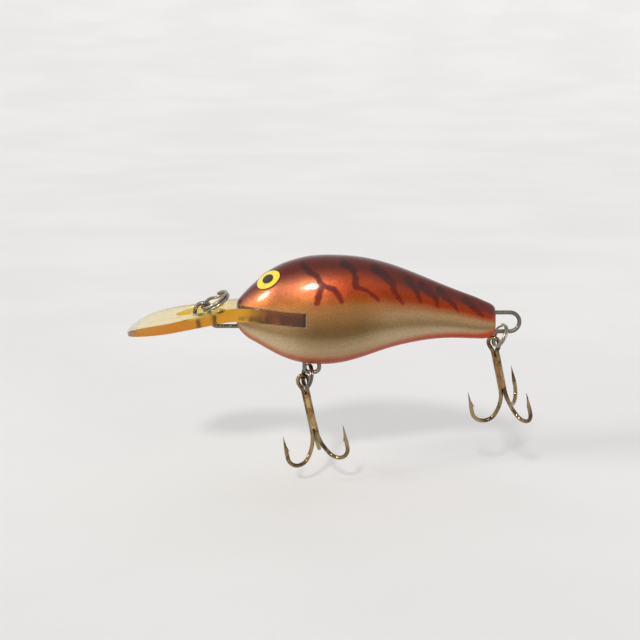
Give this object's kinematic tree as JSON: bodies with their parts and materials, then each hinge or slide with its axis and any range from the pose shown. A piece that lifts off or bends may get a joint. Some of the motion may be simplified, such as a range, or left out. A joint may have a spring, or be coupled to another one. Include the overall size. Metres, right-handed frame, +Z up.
{
  "type": "crankbait lure",
  "caption": "Deep-diving crankbait: painted balsa body, long clear amber diving lip, wire line tie with split ring, belly and tail treble hooks on split rings.",
  "frame": {"origin": "where the line-tie split ring passes through its wire eye, on the lure's mid-plane", "axes": "+X towards the tail, along the body; -X towards the tip of the diving lip; +Z up through the back; -Y out of the left flank"},
  "size_m": [0.0791, 0.0212, 0.0432],
  "materials": {
    "paint": "gloss lacquer over metallic paint",
    "balsa": "raw",
    "lead": "dull cast lead",
    "wire": "tarnished steel",
    "ring": "tarnished nickel",
    "hook": "bronzed steel",
    "braze": "bronzed",
    "lip": "clear amber polycarbonate",
    "glue": "aged clear glue",
    "eye_yellow": "gloss enamel",
    "eye_black": "gloss enamel"
  },
  "bodies": {
    "lure_body": {"painted_skin": "paint", "balsa_body": "balsa", "belly_slot_filler": "balsa", "lead_ballast": "lead", "through_wire": "wire", "belly_hanger": "wire", "diving_lip": "lip", "lip_glue": "glue", "left_eye": "eye_yellow", "right_eye": "eye_yellow", "left_pupil": "eye_black", "right_pupil": "eye_black"},
    "line_tie_ring": {"line_tie_ring": "ring"},
    "belly_ring": {"belly_ring": "ring"},
    "rear_ring": {"rear_ring": "ring"},
    "belly_treble": {"belly_treble_double": "hook", "belly_treble_single": "hook", "belly_treble_braze": "braze"},
    "rear_treble": {"rear_treble_double": "hook", "rear_treble_single": "hook", "rear_treble_braze": "braze"}
  },
  "joints": [
    {"name": "line_tie_ring_swing", "type": "hinge", "parent": "lure_body", "child": "line_tie_ring", "pos_m": [0, 0, 0], "axis": [0, -1, 0], "range_deg": [0, 140]},
    {"name": "belly_ring_swing", "type": "hinge", "parent": "lure_body", "child": "belly_ring", "pos_m": [0.02095, 0, -0.01261], "axis": [1, 0, 0], "range_deg": [-70, 20]},
    {"name": "belly_treble_swing", "type": "hinge", "parent": "belly_ring", "child": "belly_treble", "pos_m": [0.01931, 0.00245, -0.01493], "axis": [-0.1055, 0.6457, 0.7562], "range_deg": [-45, 45]},
    {"name": "rear_ring_swing", "type": "hinge", "parent": "lure_body", "child": "rear_ring", "pos_m": [0.0587, 0, -0.00451], "axis": [1, 0, 0], "range_deg": [-80, 45]},
    {"name": "rear_treble_swing", "type": "hinge", "parent": "rear_ring", "child": "rear_treble", "pos_m": [0.05659, 0.00178, -0.00708], "axis": [0.0306, 0.8325, 0.5532], "range_deg": [-50, 45]}
  ]
}
